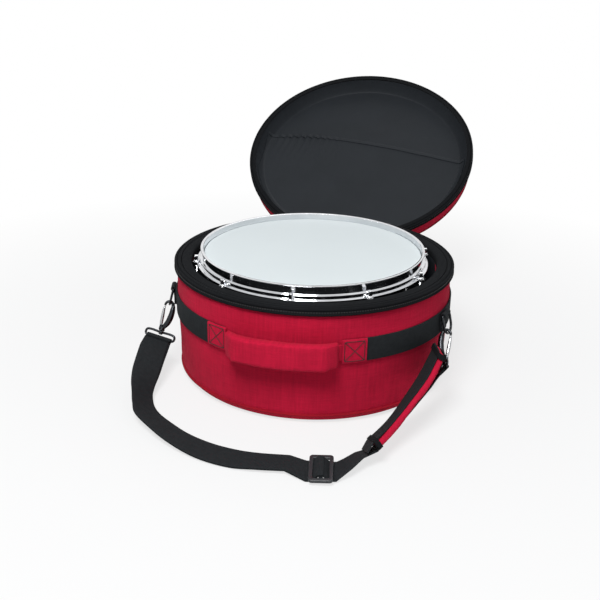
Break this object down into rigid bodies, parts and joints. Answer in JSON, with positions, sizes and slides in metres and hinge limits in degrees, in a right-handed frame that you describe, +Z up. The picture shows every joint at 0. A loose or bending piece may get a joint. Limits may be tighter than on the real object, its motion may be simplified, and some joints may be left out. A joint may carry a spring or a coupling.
{
  "type": "tom tom drum in a carry bag",
  "caption": "Tom tom drum with chrome hoops, lugs and tension rods, standing in its open round padded carry bag with a hinged lid, grip and clip-on shoulder strap.",
  "frame": {"origin": "centre of the flat underside of the bag's base", "axes": "+Z up; -Y is the front, with the carry handle; +Y is the side of the lid's hinge"},
  "size_m": [0.51, 1.0357, 0.3909],
  "materials": {
    "red_cloth": "matt woven polyester over foam",
    "black_cloth": "matt woven, grooved and piped",
    "lining_cloth": "smooth lining cloth",
    "webbing": "ribbed webbing",
    "drumhead": "sprayed coating on a clear film",
    "lacquered_wood": "black lacquer",
    "chrome": "polished",
    "gunmetal": "black nickel",
    "moulded_plastic": "moulded"
  },
  "bodies": {
    "bag": {"bag_shell": "red_cloth", "bag_lining": "lining_cloth", "rim_band": "black_cloth", "side_belt": "webbing", "handle_patch_left": "red_cloth", "handle_patch_right": "red_cloth", "d_ring_left": "gunmetal", "d_ring_right": "gunmetal", "strap_loop_left": "gunmetal", "strap_loop_right": "gunmetal", "strap_webbing": "webbing", "strap_slider": "moulded_plastic", "shoulder_pad": "red_cloth", "lid_hinge_web": "black_cloth"},
    "drum": {"drum_shell": "lacquered_wood", "batter_head": "drumhead", "resonant_head": "drumhead", "batter_hoop": "chrome", "resonant_hoop": "chrome", "lug_01": "chrome", "lug_02": "chrome", "lug_03": "chrome", "lug_04": "chrome", "lug_05": "chrome", "lug_06": "chrome", "lug_07": "chrome", "lug_08": "chrome", "lug_09": "chrome", "lug_10": "chrome"},
    "batter_rod_01_body": {"batter_rod_01": "chrome"},
    "batter_rod_02_body": {"batter_rod_02": "chrome"},
    "batter_rod_03_body": {"batter_rod_03": "chrome"},
    "batter_rod_04_body": {"batter_rod_04": "chrome"},
    "batter_rod_05_body": {"batter_rod_05": "chrome"},
    "batter_rod_06_body": {"batter_rod_06": "chrome"},
    "batter_rod_07_body": {"batter_rod_07": "chrome"},
    "batter_rod_08_body": {"batter_rod_08": "chrome"},
    "batter_rod_09_body": {"batter_rod_09": "chrome"},
    "batter_rod_10_body": {"batter_rod_10": "chrome"},
    "resonant_rod_01_body": {"resonant_rod_01": "chrome"},
    "resonant_rod_02_body": {"resonant_rod_02": "chrome"},
    "resonant_rod_03_body": {"resonant_rod_03": "chrome"},
    "resonant_rod_04_body": {"resonant_rod_04": "chrome"},
    "resonant_rod_05_body": {"resonant_rod_05": "chrome"},
    "resonant_rod_06_body": {"resonant_rod_06": "chrome"},
    "resonant_rod_07_body": {"resonant_rod_07": "chrome"},
    "resonant_rod_08_body": {"resonant_rod_08": "chrome"},
    "resonant_rod_09_body": {"resonant_rod_09": "chrome"},
    "resonant_rod_10_body": {"resonant_rod_10": "chrome"},
    "handle": {"carry_handle": "red_cloth"},
    "lid": {"lid_shell": "red_cloth", "lid_rim": "black_cloth", "lid_lining": "lining_cloth", "lid_pocket": "lining_cloth"},
    "hook_left": {"snap_hook_left": "gunmetal"},
    "gate_left": {"hook_gate_left": "chrome"},
    "zip_left": {"zip_slider_left": "gunmetal"},
    "hook_right": {"snap_hook_right": "gunmetal"},
    "gate_right": {"hook_gate_right": "chrome"},
    "zip_right": {"zip_slider_right": "gunmetal"}
  },
  "joints": [
    {"name": "drum_lift", "type": "slide", "parent": "bag", "child": "drum", "axis": [0, 0, 1], "range_m": [0, 0.22]},
    {"name": "gate_left", "type": "hinge", "parent": "hook_left", "child": "gate_left", "pos_m": [-0.24125, -0.08564, 0.07321], "axis": [-0.2366, 0.8831, -0.4051], "range_deg": [0, 14], "stiffness_Nm_per_rad": 0.02, "springref_deg": -5.73},
    {"name": "gate_right", "type": "hinge", "parent": "hook_right", "child": "gate_right", "pos_m": [0.23407, -0.09491, 0.07789], "axis": [-0.2063, -0.7698, 0.604], "range_deg": [0, 14], "stiffness_Nm_per_rad": 0.02, "springref_deg": -5.73},
    {"name": "handle_swing", "type": "hinge", "parent": "bag", "child": "handle", "pos_m": [0, -0.2148, 0.1215], "axis": [1, 0, 0], "range_deg": [-14, 14]},
    {"name": "hook_swivel_left", "type": "hinge", "parent": "bag", "child": "hook_left", "pos_m": [-0.23991, -0.09013, 0.06263], "axis": [0.1904, 0.451, 0.872], "range_deg": [-10, 10]},
    {"name": "hook_swivel_right", "type": "hinge", "parent": "bag", "child": "hook_right", "pos_m": [0.23088, -0.10124, 0.06874], "axis": [-0.0301, 0.622, 0.7825], "range_deg": [-10, 10]},
    {"name": "lid_hinge", "type": "hinge", "parent": "bag", "child": "lid", "pos_m": [0, 0.234, 0.162], "axis": [-1, 0, 0], "range_deg": [-147, 35], "deforming": ["lid_hinge_web"]},
    {"name": "run_zip_left", "type": "hinge", "parent": "bag", "child": "zip_left", "pos_m": [0, 0, 0.18], "axis": [0, 0, -1], "range_deg": [-150, 0]},
    {"name": "run_zip_right", "type": "hinge", "parent": "bag", "child": "zip_right", "pos_m": [0, 0, 0.18], "axis": [0, 0, 1], "range_deg": [-150, 0]},
    {"name": "tension_rod_batter_01", "type": "hinge", "parent": "drum", "child": "batter_rod_01_body", "pos_m": [0.1759, 0.06739, 0.16365], "axis": [0, 0, 1], "continuous": true},
    {"name": "tension_rod_batter_02", "type": "hinge", "parent": "drum", "child": "batter_rod_02_body", "pos_m": [0.10242, 0.15977, 0.16365], "axis": [0, 0, 1], "continuous": true},
    {"name": "tension_rod_batter_03", "type": "hinge", "parent": "drum", "child": "batter_rod_03_body", "pos_m": [-0.01133, 0.19132, 0.16365], "axis": [0, 0, 1], "continuous": true},
    {"name": "tension_rod_batter_04", "type": "hinge", "parent": "drum", "child": "batter_rod_04_body", "pos_m": [-0.1219, 0.14998, 0.16365], "axis": [0, 0, 1], "continuous": true},
    {"name": "tension_rod_batter_05", "type": "hinge", "parent": "drum", "child": "batter_rod_05_body", "pos_m": [-0.18705, 0.05154, 0.16365], "axis": [0, 0, 1], "continuous": true},
    {"name": "tension_rod_batter_06", "type": "hinge", "parent": "drum", "child": "batter_rod_06_body", "pos_m": [-0.1819, -0.06639, 0.16365], "axis": [0, 0, 1], "continuous": true},
    {"name": "tension_rod_batter_07", "type": "hinge", "parent": "drum", "child": "batter_rod_07_body", "pos_m": [-0.10842, -0.15877, 0.16365], "axis": [0, 0, 1], "continuous": true},
    {"name": "tension_rod_batter_08", "type": "hinge", "parent": "drum", "child": "batter_rod_08_body", "pos_m": [0.00533, -0.19032, 0.16365], "axis": [0, 0, 1], "continuous": true},
    {"name": "tension_rod_batter_09", "type": "hinge", "parent": "drum", "child": "batter_rod_09_body", "pos_m": [0.1159, -0.14898, 0.16365], "axis": [0, 0, 1], "continuous": true},
    {"name": "tension_rod_batter_10", "type": "hinge", "parent": "drum", "child": "batter_rod_10_body", "pos_m": [0.18105, -0.05054, 0.16365], "axis": [0, 0, 1], "continuous": true},
    {"name": "tension_rod_resonant_01", "type": "hinge", "parent": "drum", "child": "resonant_rod_01_body", "pos_m": [0.1759, 0.06739, 0.06365], "axis": [0, 0, -1], "continuous": true},
    {"name": "tension_rod_resonant_02", "type": "hinge", "parent": "drum", "child": "resonant_rod_02_body", "pos_m": [0.10242, 0.15977, 0.06365], "axis": [0, 0, -1], "continuous": true},
    {"name": "tension_rod_resonant_03", "type": "hinge", "parent": "drum", "child": "resonant_rod_03_body", "pos_m": [-0.01133, 0.19132, 0.06365], "axis": [0, 0, -1], "continuous": true},
    {"name": "tension_rod_resonant_04", "type": "hinge", "parent": "drum", "child": "resonant_rod_04_body", "pos_m": [-0.1219, 0.14998, 0.06365], "axis": [0, 0, -1], "continuous": true},
    {"name": "tension_rod_resonant_05", "type": "hinge", "parent": "drum", "child": "resonant_rod_05_body", "pos_m": [-0.18705, 0.05154, 0.06365], "axis": [0, 0, -1], "continuous": true},
    {"name": "tension_rod_resonant_06", "type": "hinge", "parent": "drum", "child": "resonant_rod_06_body", "pos_m": [-0.1819, -0.06639, 0.06365], "axis": [0, 0, -1], "continuous": true},
    {"name": "tension_rod_resonant_07", "type": "hinge", "parent": "drum", "child": "resonant_rod_07_body", "pos_m": [-0.10842, -0.15877, 0.06365], "axis": [0, 0, -1], "continuous": true},
    {"name": "tension_rod_resonant_08", "type": "hinge", "parent": "drum", "child": "resonant_rod_08_body", "pos_m": [0.00533, -0.19032, 0.06365], "axis": [0, 0, -1], "continuous": true},
    {"name": "tension_rod_resonant_09", "type": "hinge", "parent": "drum", "child": "resonant_rod_09_body", "pos_m": [0.1159, -0.14898, 0.06365], "axis": [0, 0, -1], "continuous": true},
    {"name": "tension_rod_resonant_10", "type": "hinge", "parent": "drum", "child": "resonant_rod_10_body", "pos_m": [0.18105, -0.05054, 0.06365], "axis": [0, 0, -1], "continuous": true}
  ]
}
